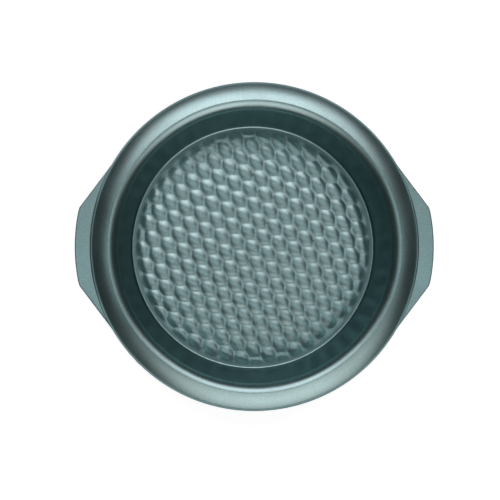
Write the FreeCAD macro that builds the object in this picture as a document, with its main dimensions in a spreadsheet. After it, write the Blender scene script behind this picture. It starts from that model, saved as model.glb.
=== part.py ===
import FreeCAD, Part
import math
import os

import Sketcher

# A round cake tin pressed from one steel sheet: embossed base, drafted wall, rolled-over rim and two
# flat handle tabs. Z is up, X runs through the tabs, and the origin is the centre of the base's underside.

# Driving dimensions in millimetres and degrees
SIZES = {
    "thickness": 0.8,  # of the sheet
    "height": 50.0,  # from the base's underside to the crest of the rim
    "floor_radius": 104.2,  # where the wall's inner face would meet the floor's upper face
    "floor_bend": 1.5,  # inner radius between floor and wall
    "wall_spread": 12.8,  # from the floor's radius out to the crest
    "lip_bend": 7.2,  # the wall rolls outwards on this radius
    "lip_tilt": 15.0,  # slope left at the top of the lip
    "crest_bend": 0.4,  # inner radius of the small ridge along the crest
    "shoulder_width": 16.2,  # from the crest out to the rim's outside
    "shoulder_tilt": 9.0,  # slope with which the shoulder leaves the ridge
    "shoulder_bend": 6.2,  # outer part of the shoulder, which ends upright
    "rim_drop": 10.0,  # from the crest down to the tabs' upper face
    "edge_depth": 3.0,  # of the turned-down edge below the tabs' upper face
    "edge_bend": 0.4,  # inner radius along the tabs' edge
    "tab_reach": 12.6,  # from the rim's outside to the tabs' outer edge
    "tab_end_width": 62.6,  # across the tab's outer corners, taken sharp
    "tab_root_width": 137.0,  # across the tab where its edges run into the rim
    "tab_corner": 7.0,  # outer corners in plan
    "ring_width": 5.3,  # plain ring from the embossing out to the floor's radius
    "bump_length": 13.2,
    "bump_width": 10.6,
    "bump_height": 1.2,
    "bump_lean": 15.4,  # the bumps and their rows, from the Y axis anticlockwise
    "bump_end_gap": 0.94,  # between a bump and the next in its row
    "bump_side_gap": 0.86,  # between the sides of neighbouring rows
    "row_shift": 6.0,  # of each row along its length against the row before
}

# Places that follow from the driving dimensions
DERIVED = {
    "crest_radius": "floor_radius + wall_spread",
    "rim_radius": "crest_radius + shoulder_width",
    "tab_radius": "rim_radius + tab_reach",
    "tab_level": "height - rim_drop",
    "ridge_bend": "crest_bend + thickness",
    "tab_edge_bend": "edge_bend + thickness",
    "tab_root": "rim_radius - thickness / 2",  # the tabs start inside the rim's sheet
    "hollow_root": "rim_radius - thickness - thickness / 2",  # and their hollow opens into the rim's
    "emboss_radius": "floor_radius - ring_width",
}

# The bumps are flat-topped six-sided domes, whose top is this share of their foot
BUMP_SIDES = 6
BUMP_TOP_SHARE = 0.5
# A bump whose middle lies past the embossing's edge by more than this share of its width is left out
BUMP_OVERHANG = 0.2
LEVEL_SLACK = 1e-6

VECTOR = FreeCAD.Vector
ORIGIN = VECTOR(0, 0, 0)
UP = VECTOR(0, 0, 1)
# Sketcher's numbers for the points of an edge and for the sketch's own axes
START, END, CENTRE = range(1, 4)
H_AXIS, V_AXIS = range(-1, -3, -1)


def make_sheet(doc):
    sheet = doc.addObject("Spreadsheet::Sheet", "Sizes")
    cells = dict(SIZES)
    cells.update((alias, f"={formula}") for alias, formula in DERIVED.items())
    for row, (alias, content) in enumerate(cells.items(), start=1):
        sheet.set(f"A{row}", alias)
        sheet.setAlias(f"B{row}", alias)
        sheet.set(f"B{row}", str(content))
    doc.recompute()
    return {alias: float(sheet.get(alias)) for alias in cells}


def polar(radius, degrees):
    return VECTOR(radius * math.cos(math.radians(degrees)), radius * math.sin(math.radians(degrees)), 0)


def angle_of(vector):
    return math.atan2(vector.y, vector.x)


def add_line(sketch, start, end):
    return sketch.addGeometry(Part.LineSegment(start, end), False)


def add_arc(sketch, centre, radius, start, end):
    """An arc that runs anticlockwise from the direction start to the direction end, in radians."""
    return sketch.addGeometry(Part.ArcOfCircle(Part.Circle(centre, UP, radius), start, end), False)


def add_helper_point(sketch, place):
    return sketch.addGeometry(Part.Point(place), True)


def hold(sketch, name, expression, kind, *where):
    """Add a dimension that starts at its value and stays tied to the sheet."""
    index = sketch.addConstraint(Sketcher.Constraint(kind, *where, float(sketch.evalExpression(expression))))
    sketch.renameConstraint(index, name)
    sketch.setExpression(f"Constraints.{name}", expression)


def fix(sketch, kind, *where):
    sketch.addConstraint(Sketcher.Constraint(kind, *where))


def section_sketch(doc, size):
    """Half of the sheet's upper face in section, from the axis to the cut edge: X is the radius, Y the level."""
    lip_tilt = math.radians(size["lip_tilt"])
    shoulder_tilt = math.radians(size["shoulder_tilt"])
    upright = math.pi / 2

    crest = VECTOR(size["crest_radius"], size["height"] - size["ridge_bend"], 0)
    lip_join = crest + VECTOR(-math.sin(lip_tilt), math.cos(lip_tilt), 0) * size["ridge_bend"]
    lip = lip_join - VECTOR(-math.sin(lip_tilt), math.cos(lip_tilt), 0) * size["lip_bend"]

    # The wall runs from the floor's corner and touches the lip's circle
    corner = VECTOR(size["floor_radius"], size["thickness"], 0)
    reach = lip - corner
    draft = upright - angle_of(reach) - math.asin(size["lip_bend"] / reach.Length)
    wall_normal = VECTOR(math.cos(draft), -math.sin(draft), 0)
    wall_top = lip - wall_normal * size["lip_bend"]
    bend_run = size["floor_bend"] * math.tan((upright - draft) / 2)
    bend = corner + VECTOR(-bend_run, size["floor_bend"], 0)
    wall_foot = bend + wall_normal * size["floor_bend"]

    # The shoulder's flatter arc touches the ridge and the arc that ends upright
    normal = VECTOR(math.sin(shoulder_tilt), math.cos(shoulder_tilt), 0)
    ridge_end = crest + normal * size["ridge_bend"]
    edge = VECTOR(size["rim_radius"] - size["shoulder_bend"], size["tab_level"], 0)
    gap = ridge_end - edge
    flat_radius = (gap.Length**2 - size["shoulder_bend"] ** 2) / (2 * (gap.dot(normal) - size["shoulder_bend"]))
    flat_centre = ridge_end - normal * flat_radius
    turn = angle_of(edge - flat_centre)

    sketch = doc.addObject("Sketcher::SketchObject", "sheet_section")
    sketch.Placement = FreeCAD.Placement(ORIGIN, FreeCAD.Rotation(VECTOR(1, 0, 0), 90))
    rim_top = VECTOR(size["rim_radius"], size["tab_level"], 0)
    floor_line = add_line(sketch, VECTOR(0, size["thickness"], 0), VECTOR(bend.x, size["thickness"], 0))
    floor_arc = add_arc(sketch, bend, size["floor_bend"], -upright, -draft)
    wall_line = add_line(sketch, wall_foot, wall_top)
    lip_arc = add_arc(sketch, lip, size["lip_bend"], upright + lip_tilt, math.pi - draft)
    ridge_arc = add_arc(sketch, crest, size["ridge_bend"], upright - shoulder_tilt, upright + lip_tilt)
    flat_arc = add_arc(sketch, flat_centre, flat_radius, turn, upright - shoulder_tilt)
    edge_arc = add_arc(sketch, edge, size["shoulder_bend"], 0, turn)
    edge_line = add_line(sketch, rim_top, rim_top - VECTOR(0, size["edge_depth"], 0))
    floor_corner = add_helper_point(sketch, corner)

    joins = (
        (floor_line, END, floor_arc, START),
        (floor_arc, END, wall_line, START),
        (wall_line, END, lip_arc, END),
        (lip_arc, START, ridge_arc, END),
        (ridge_arc, START, flat_arc, END),
        (flat_arc, START, edge_arc, END),
        (edge_arc, START, edge_line, START),
    )
    for join in joins:
        fix(sketch, "Tangent", *join)
    fix(sketch, "Horizontal", floor_line)
    fix(sketch, "Vertical", edge_line)
    fix(sketch, "PointOnObject", floor_line, START, V_AXIS)
    fix(sketch, "PointOnObject", floor_corner, START, floor_line)
    fix(sketch, "PointOnObject", floor_corner, START, wall_line)
    hold(sketch, "floor_face", "Sizes.thickness", "DistanceY", floor_line, START)
    hold(sketch, "floor_corner", "Sizes.floor_radius", "DistanceX", floor_corner, START)
    hold(sketch, "floor_bend", "Sizes.floor_bend", "Radius", floor_arc)
    hold(sketch, "lip_bend", "Sizes.lip_bend", "Radius", lip_arc)
    hold(sketch, "ridge_bend", "Sizes.ridge_bend", "Radius", ridge_arc)
    hold(sketch, "crest_place", "Sizes.crest_radius", "DistanceX", ridge_arc, CENTRE)
    hold(sketch, "crest_level", "Sizes.height - Sizes.ridge_bend", "DistanceY", ridge_arc, CENTRE)
    hold(
        sketch, "lip_tilt", "Sizes.ridge_bend * sin(Sizes.lip_tilt * 1 deg)",
        "DistanceX", ridge_arc, END, ridge_arc, CENTRE,
    )
    hold(
        sketch, "shoulder_tilt", "Sizes.ridge_bend * sin(Sizes.shoulder_tilt * 1 deg)",
        "DistanceX", ridge_arc, CENTRE, ridge_arc, START,
    )
    hold(sketch, "shoulder_bend", "Sizes.shoulder_bend", "Radius", edge_arc)
    hold(sketch, "rim_place", "Sizes.rim_radius", "DistanceX", edge_line, START)
    hold(sketch, "tab_level", "Sizes.tab_level", "DistanceY", edge_line, START)
    hold(sketch, "cut_edge", "Sizes.tab_level - Sizes.edge_depth", "DistanceY", edge_line, END)
    return sketch


def pressed_pan(doc, size):
    """The round part of the sheet: its section thickened downwards and turned about the axis."""
    section = doc.addObject("Part::Offset2D", "sheet_profile")
    section.Source = section_sketch(doc, size)
    section.Mode = "Skin"
    section.Fill = True
    section.setExpression("Value", "-Sizes.thickness")
    pan = doc.addObject("Part::Revolution", "pressed_pan")
    pan.Source = section
    pan.Axis = UP
    pan.Angle = 360
    pan.Solid = True
    return pan


def mirrored(point, side):
    """The point itself for a side of 1, or its mirror image across the X axis for -1."""
    return VECTOR(point.x, side * point.y, 0)


def tab_sketch(doc, size):
    """Outline of the tab on the +X side, closed by a chord inside the rim."""
    end_half, root_half = size["tab_end_width"] / 2, size["tab_root_width"] / 2
    corner = VECTOR(math.sqrt(size["tab_radius"] ** 2 - end_half**2), end_half, 0)
    tip = VECTOR(math.sqrt(size["rim_radius"] ** 2 - root_half**2), root_half, 0)
    along = (tip - corner).normalize()
    inwards = VECTOR(-along.y, along.x, 0)

    # The corner's centre is one radius inside the flank and inside the outer circle
    foot = corner + inwards * size["tab_corner"]
    inner = size["tab_radius"] - size["tab_corner"]
    run = foot.dot(along)
    centre = foot - along * (run + math.sqrt(run**2 - foot.Length**2 + inner**2))
    flank_start = centre - inwards * size["tab_corner"]
    spread = angle_of(centre)
    flank_turn = angle_of(-inwards)

    sketch = doc.addObject("Sketcher::SketchObject", "tab_outline")
    sketch.setExpression("Placement.Base.z", "Sizes.tab_level")
    outer_arc = add_arc(sketch, ORIGIN, size["tab_radius"], -spread, spread)
    fix(sketch, "Coincident", outer_arc, CENTRE, H_AXIS, START)
    hold(sketch, "tab_radius", "Sizes.tab_radius", "Radius", outer_arc)
    flanks = []
    for side, (arc_start, arc_end), outer_end in ((1, (START, END), END), (-1, (END, START), START)):
        angles = sorted((side * spread, side * flank_turn))
        corner_arc = add_arc(sketch, mirrored(centre, side), size["tab_corner"], *angles)
        flank = add_line(sketch, mirrored(flank_start, side), mirrored(tip, side))
        sharp = add_helper_point(sketch, mirrored(corner, side))
        fix(sketch, "Tangent", outer_arc, outer_end, corner_arc, arc_start)
        fix(sketch, "Tangent", corner_arc, arc_end, flank, START)
        fix(sketch, "PointOnObject", sharp, START, outer_arc)
        fix(sketch, "PointOnObject", sharp, START, flank)
        label = "upper" if side > 0 else "lower"
        hold(sketch, f"corner_{label}", "Sizes.tab_corner", "Radius", corner_arc)
        hold(sketch, f"end_{label}", f"{side} * Sizes.tab_end_width / 2", "DistanceY", sharp, START)
        hold(sketch, f"root_{label}", f"{side} * Sizes.tab_root_width / 2", "DistanceY", flank, END)
        hold(
            sketch, f"tip_{label}", "sqrt(Sizes.rim_radius ^ 2 - (Sizes.tab_root_width / 2) ^ 2)",
            "DistanceX", flank, END,
        )
        flanks.append(flank)
    upper_flank, lower_flank = flanks
    chord = add_line(sketch, mirrored(tip, -1), tip)
    fix(sketch, "Coincident", chord, START, lower_flank, END)
    fix(sketch, "Coincident", chord, END, upper_flank, END)
    return sketch


def tab_block(doc, name, outline, depth, bend, root):
    """A prism down from the outline, its upper outer edge rounded, cut back to a circle inside the rim."""
    prism = doc.addObject("Part::Extrusion", f"{name}_prism")
    prism.Base = outline
    prism.DirMode = "Custom"
    prism.Dir = UP
    prism.Solid = True
    prism.setExpression("LengthRev", depth)
    doc.recompute()

    # Of the prism's upper edges only the chord inside the rim, which runs along Y, stays sharp
    rounded = doc.addObject("Part::Fillet", f"{name}_rounded")
    rounded.Base = prism
    top = prism.Shape.BoundBox.ZMax
    rounded.Edges = [
        (number, bend, bend)
        for number, edge in enumerate(prism.Shape.Edges, start=1)
        if abs(edge.BoundBox.ZMin - top) < LEVEL_SLACK < edge.BoundBox.XLength
    ]

    core = doc.addObject("Part::Cylinder", f"{name}_core")
    core.setExpression("Radius", root)
    core.setExpression("Height", "Sizes.height")
    block = doc.addObject("Part::Cut", f"{name}_block")
    block.Base = rounded
    block.Tool = core
    return block


def both_sides(doc, block):
    """The block and its mirror image on the -X side."""
    twin = doc.addObject("Part::Mirroring", f"{block.Name}_twin")
    twin.Source = block
    twin.Normal = VECTOR(1, 0, 0)
    return [block, twin]


def bump_dome(size, foot_level):
    """One bump on the axis, as a six-sided dome with a flat top."""
    def ring(share, level):
        points = []
        for step in range(BUMP_SIDES):
            turn = 2 * math.pi * step / BUMP_SIDES
            across = share * size["bump_width"] / 2 * math.sin(turn)
            along = share * size["bump_length"] / 2 * math.cos(turn)
            points.append(VECTOR(-across, along, level))
        return points

    foot, top = ring(1, foot_level), ring(BUMP_TOP_SHARE, foot_level + size["bump_height"])
    faces = [Part.Face(Part.makePolygon(loop + loop[:1])) for loop in (foot, top)]
    for step in range(BUMP_SIDES):
        after = (step + 1) % BUMP_SIDES
        faces.append(Part.Face(Part.makePolygon([foot[step], foot[after], top[after], top[step], foot[step]])))
    dome = Part.Solid(Part.Shell(faces))
    if dome.Volume < 0:
        dome.reverse()
    dome.rotate(ORIGIN, UP, size["bump_lean"])
    return dome


def bump_places(size):
    """Middles of the bumps, in rows side by side, with one bump on the axis."""
    across, along = polar(1, size["bump_lean"]), polar(1, 90 + size["bump_lean"])
    pitch = size["bump_length"] + size["bump_end_gap"]
    row_distance = size["bump_width"] + size["bump_side_gap"]
    limit = size["emboss_radius"] + BUMP_OVERHANG * size["bump_width"]
    rows = int(limit / row_distance)
    places = []
    for row in range(-rows, rows + 1):
        shift = row * size["row_shift"]
        half_row = math.sqrt(limit**2 - (row * row_distance) ** 2)
        first, last = math.ceil((-half_row - shift) / pitch), math.floor((half_row - shift) / pitch)
        for step in range(first, last + 1):
            places.append(across * (row * row_distance) + along * (step * pitch + shift))
    return places


def bump_field(size, foot_level, edge_radius):
    """All the bumps that stand on one level, cut off upright on the embossing's circle."""
    dome = bump_dome(size, foot_level)
    disc = Part.makeCylinder(edge_radius, size["height"], VECTOR(0, 0, -size["height"] / 2))
    field = []
    for place in bump_places(size):
        bump = dome.translated(place)
        if place.Length + size["bump_length"] / 2 > edge_radius:
            bump = bump.common(disc)
        field.extend(bump.Solids)
    return field


def is_level(face, level):
    """Whether the face is flat, level and at this height."""
    surface = face.Surface
    if not isinstance(surface, Part.Plane):
        return False
    return surface.Axis.cross(UP).Length < LEVEL_SLACK and abs(surface.Position.z - level) < LEVEL_SLACK


def embossed(blank, size):
    """The sheet with its bumps: raised on the floor's upper face and pressed in from its underside."""
    thickness = size["thickness"]
    faces = list(blank.Faces)
    for level, edge_radius in ((thickness, size["emboss_radius"]), (0, size["emboss_radius"] - thickness)):
        panel = next(face for face in faces if is_level(face, level))
        faces.remove(panel)
        feet = []
        for bump in bump_field(size, level, edge_radius):
            for face in bump.Faces:
                if is_level(face, level):
                    feet.append(face.OuterWire.reversed())
                else:
                    faces.append(face)
        faces.append(Part.Face([panel.OuterWire] + feet))
    shell = Part.Shell(faces)
    shell.sewShape()
    return Part.Solid(shell)


def cake_tin(doc, size):
    outline = tab_sketch(doc, size)
    inner_outline = doc.addObject("Part::Offset2D", "tab_inner_outline")
    inner_outline.Source = outline
    inner_outline.setExpression("Value", "-Sizes.thickness")
    inner_outline.setExpression("Placement.Base.z", "-Sizes.thickness")
    tab = tab_block(doc, "tab", outline, "Sizes.edge_depth", size["tab_edge_bend"], "Sizes.tab_root")
    tab_hollow = tab_block(
        doc, "tab_hollow", inner_outline, "Sizes.tab_level", size["edge_bend"], "Sizes.hollow_root",
    )
    body = doc.addObject("Part::MultiFuse", "pan_and_tabs")
    body.Shapes = [pressed_pan(doc, size)] + both_sides(doc, tab)
    hollows = doc.addObject("Part::Compound", "hollows")
    hollows.Links = both_sides(doc, tab_hollow)
    blank = doc.addObject("Part::Cut", "plain_tin")
    blank.Base = body
    blank.Tool = hollows
    doc.recompute()

    tin = doc.addObject("Part::Feature", "cake_tin")
    tin.Shape = embossed(blank.Shape, size)
    tin.Label = "cake_tin"
    return tin


def check(doc, parts):
    """Stop before anything is written if an object failed or a part isn't one valid solid."""
    for item in doc.Objects:
        for word in ("Invalid", "Error"):
            if word in item.State:
                raise RuntimeError(f"{item.Name} is in state {item.State}")
    for part in parts:
        shape = part.Shape
        if shape.isNull() or not shape.isValid() or len(shape.Solids) != 1:
            raise RuntimeError(f"{part.Label} has no valid single solid")


def main():
    doc = FreeCAD.newDocument("round_cake_tin")
    size = make_sheet(doc)
    parts = [cake_tin(doc, size)]
    doc.recompute()
    check(doc, parts)
    os.makedirs("parts", exist_ok=True)
    for part in parts:
        part.Shape.exportStep(f"parts/{part.Label}.step")
        print(part.Label, "volume", round(part.Shape.Volume), "mm3")


main()
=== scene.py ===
import math

import bmesh
import bpy
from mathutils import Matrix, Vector


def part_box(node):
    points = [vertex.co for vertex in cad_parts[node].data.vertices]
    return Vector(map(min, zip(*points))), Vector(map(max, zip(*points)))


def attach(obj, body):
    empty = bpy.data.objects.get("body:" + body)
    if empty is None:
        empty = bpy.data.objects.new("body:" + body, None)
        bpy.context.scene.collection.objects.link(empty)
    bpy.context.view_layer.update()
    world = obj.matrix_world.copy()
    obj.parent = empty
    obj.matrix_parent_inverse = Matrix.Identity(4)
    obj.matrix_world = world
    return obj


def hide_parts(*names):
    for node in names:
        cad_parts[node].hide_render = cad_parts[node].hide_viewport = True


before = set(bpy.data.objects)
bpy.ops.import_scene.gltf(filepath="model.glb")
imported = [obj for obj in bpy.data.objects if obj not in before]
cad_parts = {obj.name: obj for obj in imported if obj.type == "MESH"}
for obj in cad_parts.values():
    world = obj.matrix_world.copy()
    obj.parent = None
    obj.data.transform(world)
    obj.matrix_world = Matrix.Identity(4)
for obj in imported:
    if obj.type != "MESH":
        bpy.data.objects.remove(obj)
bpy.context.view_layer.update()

# A round cake tin pressed from one steel sheet with a satin non-stick coating: embossed base, drafted
# wall, rolled-over rim and two flat handle tabs. It is drawn again here as one smooth sheet.

NODE = "cake_tin"
MM = 0.001
node_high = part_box(NODE)[1]

# Sizes of the sheet, of which the outermost come from the frame. A bend is its radius.
THICKNESS = 0.8 * MM
HEIGHT = node_high.z
TAB_RADIUS = node_high.x
RIM_RADIUS = node_high.y
FLOOR_RADIUS = 104.2 * MM  # where the wall would meet the floor without a bend
FLOOR_BEND = 1.5 * MM
LIP_BEND = 9.2 * MM  # from the wall's top to the crest
LIP_TILT = math.radians(15)  # how far inwards the lip faces where it meets the crest
CREST_RADIUS = 117 * MM
RIDGE_BEND = 1.2 * MM  # of the narrow crest
SHOULDER_TILT = math.radians(9)  # how far outwards the shoulder faces where it leaves the crest
SHOULDER_BEND = 6.2 * MM  # of the shoulder's foot
TAB_LEVEL = 40 * MM  # of the tabs' upper face
TAB_END_WIDTH = 62.6 * MM
TAB_ROOT_WIDTH = 137 * MM
TAB_CORNER = 7 * MM
ROOT_BLEND = 0.32 * MM  # softens the angle at which a tab's edge leaves the rim
FOOT_BEND = 0.3 * MM  # hollow, from the shoulder into a tab
EDGE_BEND = 1.2 * MM  # from a tab into its turned-down edge
EDGE_DEPTH = 3 * MM  # of the turned-down edge

# The embossing: oval bumps in leaning rows, with one bump near the axis. Each oval leans more than its row.
EMBOSS_RADIUS = 97.9 * MM
EMBOSS_STEP = 2 * MM  # width of the slope where the embossing ends
EMBOSS_FADE = 7 * MM  # from where the bumps begin to sink to the foot of that slope
FOOT_RADIUS = EMBOSS_RADIUS + EMBOSS_STEP
RING_RISE = 0.22 * MM  # by which the ring round the embossing falls outwards to the wall
FOOT_LEVEL = THICKNESS + RING_RISE
RING_RADIUS = 101 * MM  # where the turned part of the sheet begins
BUMP_PITCH = 14.45 * MM  # along a row
ROW_DISTANCE = 11.58 * MM
ROW_LEAN = math.radians(15.8)
ROW_SHIFT = 5.97 * MM  # of each row along its length against the row before
BUMP_LENGTH = 17.8 * MM  # more than the pitch, so that the bumps of a row run into each other
BUMP_WIDTH = 11.7 * MM
BUMP_HEIGHT = 1.5 * MM
BUMP_TURN = math.radians(16)  # of each oval against its row
BUMP_CROWN = 2.1  # 2 is a round crown, 1 a cone and 3 a flat top with steep sides
FIRST_BUMP = Vector((-0.45, 0.2)) * MM
BUMP_LIMIT = EMBOSS_RADIUS + 0.4 * BUMP_WIDTH  # no bump has its middle further out
VALLEY_BEND = 0.12 * MM  # softens the foot of each bump

# How finely the mesh is divided, and how it is joined and shaded
FLOOR_CELLS = 180  # along each side of the embossed part
TURN_STEPS = 256  # once round the tin
FLOOR_BEND_STEPS = 6
LIP_STEPS = 12
RIDGE_STEPS = 4
SHOULDER_STEPS = 9
EDGE_STEPS = 5
RING_SLACK = 0.5 * MM  # how close to a circle the edges of a ring are looked for
WELD_DISTANCE = 0.001 * MM
SHARP_ANGLE = math.radians(38)


def arc(centre, radius, start, end, steps):
    """Points of an arc in the section, without its first point. Angles are in radians from outwards to up."""
    points = []
    for step in range(1, steps + 1):
        angle = start + (end - start) * step / steps
        points.append(Vector((centre[0] + radius * math.cos(angle), centre[1] + radius * math.sin(angle))))
    return points


def sheet_section():
    """The sheet's upper face from the base's ring to the shoulder's foot, as radius and level."""
    upright = math.pi / 2
    lip_way = Vector((-math.sin(LIP_TILT), math.cos(LIP_TILT)))
    crest = Vector((CREST_RADIUS, HEIGHT - RIDGE_BEND))
    lip = crest + lip_way * (RIDGE_BEND - LIP_BEND)

    # The wall runs from the floor's corner to where it touches the lip
    corner = Vector((FLOOR_RADIUS, THICKNESS))
    reach = lip - corner
    draft = upright - math.atan2(reach.y, reach.x) - math.asin(LIP_BEND / reach.length)
    bend = corner + Vector((-FLOOR_BEND * math.tan((upright - draft) / 2), FLOOR_BEND))
    wall_top = lip + LIP_BEND * Vector((-math.cos(draft), math.sin(draft)))

    # The broad shoulder touches both the crest's bend and that of its own foot
    normal = Vector((math.sin(SHOULDER_TILT), math.cos(SHOULDER_TILT)))
    ridge_end = crest + normal * RIDGE_BEND
    edge = Vector((RIM_RADIUS - SHOULDER_BEND, TAB_LEVEL))
    gap = ridge_end - edge
    broad_bend = (gap.length_squared - SHOULDER_BEND**2) / (2 * (gap.dot(normal) - SHOULDER_BEND))
    broad_centre = ridge_end - normal * broad_bend
    turn = math.atan2(edge.y - broad_centre.y, edge.x - broad_centre.x)
    foot = math.asin(FOOT_BEND / SHOULDER_BEND)

    ring_share = (bend.x - RING_RADIUS) / (bend.x - FOOT_RADIUS)
    points = [Vector((RING_RADIUS, THICKNESS + ring_share * RING_RISE)), Vector((bend.x, THICKNESS))]
    points += arc(bend, FLOOR_BEND, -upright, -draft, FLOOR_BEND_STEPS)
    points += [wall_top] + arc(lip, LIP_BEND, math.pi - draft, upright + LIP_TILT, LIP_STEPS)
    points += arc(crest, RIDGE_BEND, upright + LIP_TILT, upright - SHOULDER_TILT, RIDGE_STEPS)
    points += arc(broad_centre, broad_bend, upright - SHOULDER_TILT, turn, SHOULDER_STEPS)
    points += arc(edge, SHOULDER_BEND, turn, foot, SHOULDER_STEPS)
    return points


def tab_reach(angle):
    """How far the sheet reaches beyond the rim's radius in the direction of an angle from the X axis."""
    across = abs(math.sin(angle))
    along = abs(math.cos(angle))
    end_half, root_half = TAB_END_WIDTH / 2, TAB_ROOT_WIDTH / 2
    corner = Vector((math.sqrt(TAB_RADIUS**2 - end_half**2), end_half))
    root = Vector((math.sqrt(RIM_RADIUS**2 - root_half**2), root_half))
    flank = (root - corner).normalized()
    inwards = Vector((-flank.y, flank.x))
    way = Vector((along, across))

    facing = -way.dot(inwards)
    if facing <= 0 or across > along:
        return 0

    # The rounded corner touches the straight edge and the tab's end
    foot = corner + inwards * TAB_CORNER
    run = foot.dot(flank)
    inner = TAB_RADIUS - TAB_CORNER
    centre = foot - flank * (run + math.sqrt(run**2 - foot.length_squared + inner**2))
    flank_start = centre - inwards * TAB_CORNER
    end_angle = math.atan2(centre.y, centre.x)
    start_angle = math.atan2(flank_start.y, flank_start.x)

    own_angle = math.atan2(across, along)
    if own_angle <= end_angle:
        return TAB_RADIUS - RIM_RADIUS
    if own_angle < start_angle:
        middle = way.dot(centre)
        return middle + math.sqrt(middle**2 - centre.length_squared + TAB_CORNER**2) - RIM_RADIUS
    beyond = -corner.dot(inwards) / facing - RIM_RADIUS
    return (beyond + math.sqrt(beyond**2 + ROOT_BLEND**2)) / 2


def turned(point, angle):
    """How far a point lies across and along a direction that leans by an angle from Y, anticlockwise."""
    across = point.x * math.cos(angle) + point.y * math.sin(angle)
    along = point.y * math.cos(angle) - point.x * math.sin(angle)
    return Vector((across, along))


def bump_rise(x, y):
    """Height of the embossing above its foot at a point of the floor, from the highest bump near it."""
    spot = turned(Vector((x, y)) - FIRST_BUMP, ROW_LEAN)
    middle_row = round(spot.x / ROW_DISTANCE)
    rise = -BUMP_HEIGHT
    for row in (middle_row - 1, middle_row, middle_row + 1):
        shift = row * ROW_SHIFT
        below = math.floor((spot.y - shift) / BUMP_PITCH)
        for bump in (below, below + 1):
            place = Vector((row * ROW_DISTANCE, bump * BUMP_PITCH + shift))
            if place.length > BUMP_LIMIT:
                continue
            beside = turned(spot - place, BUMP_TURN)
            share = math.hypot(2 * beside.x / BUMP_WIDTH, 2 * beside.y / BUMP_LENGTH)
            rise = max(rise, BUMP_HEIGHT * (1 - share**BUMP_CROWN))
    sunk = max(0, 1 + (math.hypot(x, y) - FOOT_RADIUS) / EMBOSS_FADE)
    return (rise + math.hypot(rise, VALLEY_BEND)) / 2 * (1 - sunk**2)


def only(kind, result):
    """The vertices, edges or faces in what an operator returned."""
    return [item for item in result["geom"] if isinstance(item, kind)]


def open_ring(bm, radius):
    """The open edges whose ends lie close to a circle about the axis."""
    return [
        edge for edge in bm.edges
        if edge.is_boundary and all(abs(vert.co.xy.length - radius) < RING_SLACK for vert in edge.verts)
    ]


def extrude_ring(bm, edges, place):
    """Extrude an open ring of edges and put each new vertex where place says."""
    result = bmesh.ops.extrude_edge_only(bm, edges=edges)
    verts = only(bmesh.types.BMVert, result)
    for vert in verts:
        vert.co = place(vert.co)
    fresh = set(verts)
    return [edge for edge in only(bmesh.types.BMEdge, result) if fresh.issuperset(edge.verts)]


def embossed_floor(bm):
    """A square grid drawn onto a disc and raised into bumps, with a slope down to the ring round it."""
    grid = bmesh.ops.create_grid(bm, x_segments=FLOOR_CELLS, y_segments=FLOOR_CELLS, size=1)
    for vert in grid["verts"]:
        x = vert.co.x * math.sqrt(1 - vert.co.y**2 / 2) * EMBOSS_RADIUS
        y = vert.co.y * math.sqrt(1 - vert.co.x**2 / 2) * EMBOSS_RADIUS
        vert.co = (x, y, FOOT_LEVEL + bump_rise(x, y))

    def at_foot(co):
        out = co.xy.normalized() * FOOT_RADIUS
        return Vector((out.x, out.y, FOOT_LEVEL))

    extrude_ring(bm, open_ring(bm, EMBOSS_RADIUS), at_foot)


def tab_and_edge_rings(foot_radius):
    """The rings from the shoulder's foot over the tabs and down the edge.

    Each is its level, and its radius by how far the tab reaches and by its share of the full bends, which
    fade out where the tab does.
    """
    quarter = [math.pi / 2 * step / EDGE_STEPS for step in range(1, EDGE_STEPS + 1)]
    rings = []
    for turn in quarter:
        def hollow(reach, share, turn=turn):
            return foot_radius + (RIM_RADIUS - foot_radius + share * FOOT_BEND) * (1 - math.cos(turn))

        rings.append((TAB_LEVEL + FOOT_BEND * (1 - math.sin(turn)), hollow))

    rings.append((TAB_LEVEL, lambda reach, share: RIM_RADIUS + reach - share * EDGE_BEND))
    for turn in quarter:
        def rounded(reach, share, turn=turn):
            return RIM_RADIUS + reach - share * EDGE_BEND * (1 - math.sin(turn))

        rings.append((TAB_LEVEL - EDGE_BEND * (1 - math.cos(turn)), rounded))
    rings.append((TAB_LEVEL - EDGE_DEPTH, lambda reach, share: RIM_RADIUS + reach))
    return rings


def rim_and_wall(bm):
    """The turned part of the sheet, and the tabs drawn out of the shoulder's foot."""
    verts = [bm.verts.new((point.x, 0, point.y)) for point in sheet_section()]
    edges = [bm.edges.new(pair) for pair in zip(verts, verts[1:])]
    foot_radius = verts[-1].co.x
    bmesh.ops.spin(
        bm, geom=verts + edges, cent=(0, 0, 0), axis=(0, 0, 1), dvec=(0, 0, 0),
        angle=2 * math.pi, steps=TURN_STEPS, use_merge=True,
    )

    def ring_place(level, radius_of):
        def place(co):
            angle = math.atan2(co.y, co.x)
            reach = tab_reach(angle)
            share = min(1, reach / (FOOT_BEND + EDGE_BEND))
            radius = radius_of(reach, share)
            return Vector((radius * math.cos(angle), radius * math.sin(angle), level))
        return place

    edges = open_ring(bm, foot_radius)
    for level, radius_of in tab_and_edge_rings(foot_radius):
        edges = extrude_ring(bm, edges, ring_place(level, radius_of))


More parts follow.
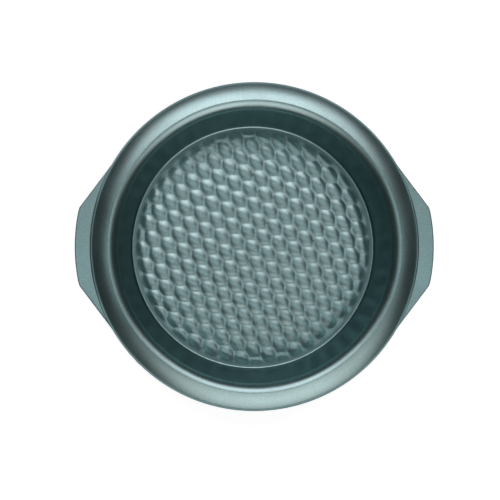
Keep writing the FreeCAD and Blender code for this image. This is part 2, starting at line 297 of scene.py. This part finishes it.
def cake_tin():
    """The whole tin as one sheet of even thickness, from its upper face."""
    bm = bmesh.new()
    embossed_floor(bm)
    rim_and_wall(bm)
    bmesh.ops.bridge_loops(bm, edges=open_ring(bm, FOOT_RADIUS) + open_ring(bm, RING_RADIUS))
    bmesh.ops.remove_doubles(bm, verts=bm.verts, dist=WELD_DISTANCE)
    bmesh.ops.recalc_face_normals(bm, faces=bm.faces)
    middle = min(bm.faces, key=lambda face: face.calc_center_median().xy.length)
    if middle.normal.z < 0:
        bmesh.ops.reverse_faces(bm, faces=bm.faces)
    bmesh.ops.solidify(bm, geom=bm.faces[:], thickness=THICKNESS)
    for face in bm.faces:
        face.smooth = True
    for edge in bm.edges:
        edge.smooth = edge.calc_face_angle(0) < SHARP_ANGLE

    mesh = bpy.data.meshes.new("cake_tin_sheet")
    bm.to_mesh(mesh)
    bm.free()
    sheet = bpy.data.objects.new("cake_tin_sheet", mesh)
    bpy.context.collection.objects.link(sheet)
    weighted = sheet.modifiers.new("even_shading", "WEIGHTED_NORMAL")
    weighted.keep_sharp = True
    return sheet


def linear(code):
    """An sRGB hex colour as the linear values that Blender's sockets take."""
    channels = [int(code[start:start + 2], 16) / 255 for start in (1, 3, 5)]
    return [c / 12.92 if c <= 0.04045 else ((c + 0.055) / 1.055) ** 2.4 for c in channels] + [1]


def add_node(tree, kind, settings=None, links=None):
    """One node with its settings by attribute or input name, and its inputs linked to other sockets."""
    node = tree.nodes.new(kind)
    for name, value in (settings or {}).items():
        if isinstance(name, int) or name in node.inputs:
            node.inputs[name].default_value = value
        else:
            setattr(node, name, value)
    for name, socket in (links or {}).items():
        tree.links.new(socket, node.inputs[name])
    return node


def new_material(name):
    """An empty material and its node tree."""
    material = bpy.data.materials.new(name)
    material.use_nodes = True
    material.node_tree.nodes.clear()
    return material, material.node_tree


# The lacquer's patterns
PEEL_WAVE = 1.8 * MM  # from one wave of the sprayed skin to the next
PEEL_DEPTH = 0.004 * MM
FLAKE_SIZE = 0.9 * MM  # real flakes are about 0.05 mm wide, and are drawn this coarse so that they show
FLAKE_DEPTH = 0.006 * MM
CLOUD_SIZE = 35 * MM
NOISE_SPREAD = {"From Min": 0.3, "From Max": 0.7}  # nearly all of the noise lies between these


def satin_nonstick_coating():
    """Silicone lacquer with fine metal flake, sprayed on pressed steel and baked.

    It gives the eye a soft metallic blue-grey sheen under a clear skin, with the faint waves of sprayed
    lacquer, a fine sparkle of flake, and slightly cloudy gloss. It darkens where it is seen edge-on.
    """
    material, tree = new_material("satin_nonstick_coating")
    place = add_node(tree, "ShaderNodeTexCoord").outputs["Object"]

    def noise(size, detail):
        settings = {"Scale": 1 / size, "Detail": detail}
        return add_node(tree, "ShaderNodeTexNoise", settings, {"Vector": place}).outputs["Fac"]

    peel, flake, cloud = noise(PEEL_WAVE, 1.0), noise(FLAKE_SIZE, 2.0), noise(CLOUD_SIZE, 3.0)
    sparkle = add_node(tree, "ShaderNodeMapRange", NOISE_SPREAD, {"Value": flake})
    colour = add_node(
        tree, "ShaderNodeMix", {"data_type": "RGBA", 6: linear("#6C8B8D"), 7: linear("#7D9C9E")},
        {0: sparkle.outputs["Result"]},
    )
    gloss = add_node(
        tree, "ShaderNodeMapRange", {**NOISE_SPREAD, "To Min": 0.32, "To Max": 0.38}, {"Value": cloud},
    )
    waves = add_node(tree, "ShaderNodeBump", {"Distance": PEEL_DEPTH}, {"Height": peel})
    grain = add_node(
        tree, "ShaderNodeBump", {"Distance": FLAKE_DEPTH},
        {"Height": flake, "Normal": waves.outputs["Normal"]},
    )
    shader = add_node(
        tree, "ShaderNodeBsdfPrincipled",
        {
            "Metallic": 1.0, "Specular Tint": linear("#4A5354"),
            "Coat Weight": 0.3, "Coat Roughness": 0.3,
        },
        {
            "Base Color": colour.outputs[2], "Roughness": gloss.outputs["Result"],
            "Normal": grain.outputs["Normal"], "Coat Normal": waves.outputs["Normal"],
        },
    )
    add_node(tree, "ShaderNodeOutputMaterial", links={"Surface": shader.outputs["BSDF"]})
    return material


FLOOR_REACH = 6  # metres from the middle of the floor to each side
FLOOR_GLOW = 0.66  # lifts the lit floor to white for the camera and in reflections


def pale_floor():
    """Matt painted board. It gives the eye an even white that keeps the tin's shadow."""
    material, tree = new_material("pale_studio_floor")
    path = add_node(tree, "ShaderNodeLightPath")
    seen = add_node(
        tree, "ShaderNodeMath", {"operation": "ADD", "use_clamp": True},
        {0: path.outputs["Is Camera Ray"], 1: path.outputs["Is Glossy Ray"]},
    )
    through = add_node(
        tree, "ShaderNodeMath", {"operation": "ADD", "use_clamp": True},
        {0: seen.outputs[0], 1: path.outputs["Is Transmission Ray"]},
    )
    glow = add_node(tree, "ShaderNodeMath", {"operation": "MULTIPLY", 1: FLOOR_GLOW}, {0: through.outputs[0]})
    shader = add_node(
        tree, "ShaderNodeBsdfPrincipled",
        {
            "Base Color": linear("#BDC9CA"), "Roughness": 0.9, "Specular IOR Level": 0.0,
            "Emission Color": linear("#FFFFFF"),
        },
        {"Emission Strength": glow.outputs[0]},
    )
    add_node(tree, "ShaderNodeOutputMaterial", links={"Surface": shader.outputs["BSDF"]})
    return material


def studio_floor():
    """A plain floor under the tin, which is no part of it."""
    bm = bmesh.new()
    bmesh.ops.create_grid(bm, x_segments=1, y_segments=1, size=FLOOR_REACH)
    mesh = bpy.data.meshes.new("studio_floor")
    bm.to_mesh(mesh)
    bm.free()
    floor = bpy.data.objects.new("studio_floor", mesh)
    bpy.context.collection.objects.link(floor)
    mesh.materials.append(pale_floor())


LAMP_DISTANCE = 1.6  # metres from the tin to each lamp
STUDIO_GREY = 0.04  # linear value of the dim room round the lamps


def softbox(name, tilt, azimuth, length, width, spread, brightness, colour):
    """A rectangular lamp that faces the tin, through a grid that keeps its light within a spread.

    Its tilt is from straight above towards an azimuth. Angles are in degrees and sizes in metres.
    """
    tilt, azimuth = math.radians(tilt), math.radians(azimuth)
    way = Vector((math.sin(tilt) * math.cos(azimuth), math.sin(tilt) * math.sin(azimuth), math.cos(tilt)))
    lamp = bpy.data.lights.new(name, "AREA")
    lamp.shape = "RECTANGLE"
    lamp.size = length
    lamp.size_y = width
    lamp.energy = brightness * math.pi * length * width
    lamp.color = linear(colour)[:3]
    lamp.spread = math.radians(spread)
    holder = bpy.data.objects.new(name, lamp)
    bpy.context.collection.objects.link(holder)
    holder.location = way * LAMP_DISTANCE
    holder.rotation_euler = way.to_track_quat("Z", "Y").to_euler()


def studio_light():
    """A softbox on the far and on the near side, a strip between them, and a dim room."""
    softbox(
        "softbox_far", tilt=38, azimuth=90, length=2.0, width=1.0,
        spread=98, brightness=1.24, colour="#FFEAEA",
    )
    softbox(
        "softbox_near", tilt=49, azimuth=-80, length=2.15, width=1.45,
        spread=98, brightness=0.87, colour="#FFEAE6",
    )
    softbox(
        "strip_overhead", tilt=2, azimuth=-90, length=2.3, width=0.42,
        spread=140, brightness=0.92, colour="#FFFFFF",
    )
    world = bpy.data.worlds.new("dim_studio")
    bpy.context.scene.world = world
    world.use_nodes = True
    world.node_tree.nodes["Background"].inputs["Color"].default_value = (STUDIO_GREY,) * 3 + (1,)


# The camera looks straight down from a little to one side, as in the photograph
CAMERA_PLACE = Vector((-20.2, -11.2, 655)) * MM
CREST_SCALE = 0.7969 * MM  # of the frame at the crest's level, for each pixel
FRAME_SIZE = 500
TIN_PIXEL = Vector((254.7, 246.4))  # where the middle of the crest shows


def photo_camera():
    """The photograph's view, with the frame shifted so that the tin's middle lies at its pixel."""
    lens = bpy.data.cameras.new("photo_view")
    camera = bpy.data.objects.new("photo_view", lens)
    bpy.context.collection.objects.link(camera)
    camera.location = CAMERA_PLACE
    width = CREST_SCALE * FRAME_SIZE
    lens.sensor_fit = "HORIZONTAL"
    lens.angle = 2 * math.atan(width / 2 / (CAMERA_PLACE.z - HEIGHT))
    lens.shift_x = 0.5 - TIN_PIXEL.x / FRAME_SIZE - CAMERA_PLACE.x / width
    lens.shift_y = TIN_PIXEL.y / FRAME_SIZE - 0.5 - CAMERA_PLACE.y / width
    bpy.context.scene.camera = camera


tin = cake_tin()
tin.data.materials.append(satin_nonstick_coating())
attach(tin, "root")
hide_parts(NODE)
studio_floor()
studio_light()
photo_camera()
bpy.context.scene.view_settings.view_transform = "Standard"
